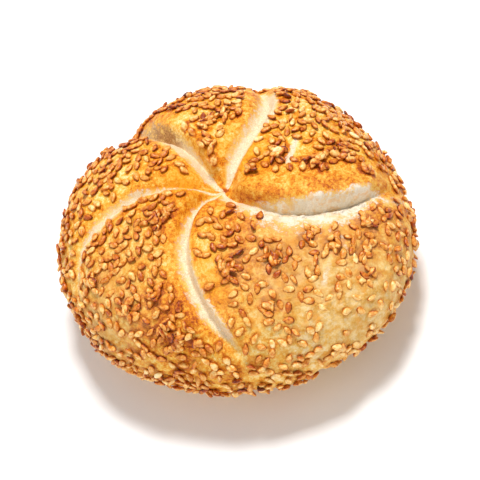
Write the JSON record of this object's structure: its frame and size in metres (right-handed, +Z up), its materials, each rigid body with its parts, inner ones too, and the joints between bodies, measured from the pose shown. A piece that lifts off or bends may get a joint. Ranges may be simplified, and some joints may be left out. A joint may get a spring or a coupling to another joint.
{
  "type": "bread roll",
  "caption": "Round seeded bread roll: five puffy petals swirl out of a pinched centre, with pale grooves between them, seeds baked into a golden crust and a flat foot.",
  "frame": {"origin": "on the flat foot, under the middle of the roll's plan", "axes": "+Z up from the foot to the petals; -Y towards the side that the picture shows lowest, +X to the right of it"},
  "size_m": [0.103, 0.1022, 0.0494],
  "materials": {
    "crust": "golden baked crust, satin, paler in the grooves"
  },
  "bodies": {
    "root": {"seeded_roll": "crust"}
  },
  "joints": []
}
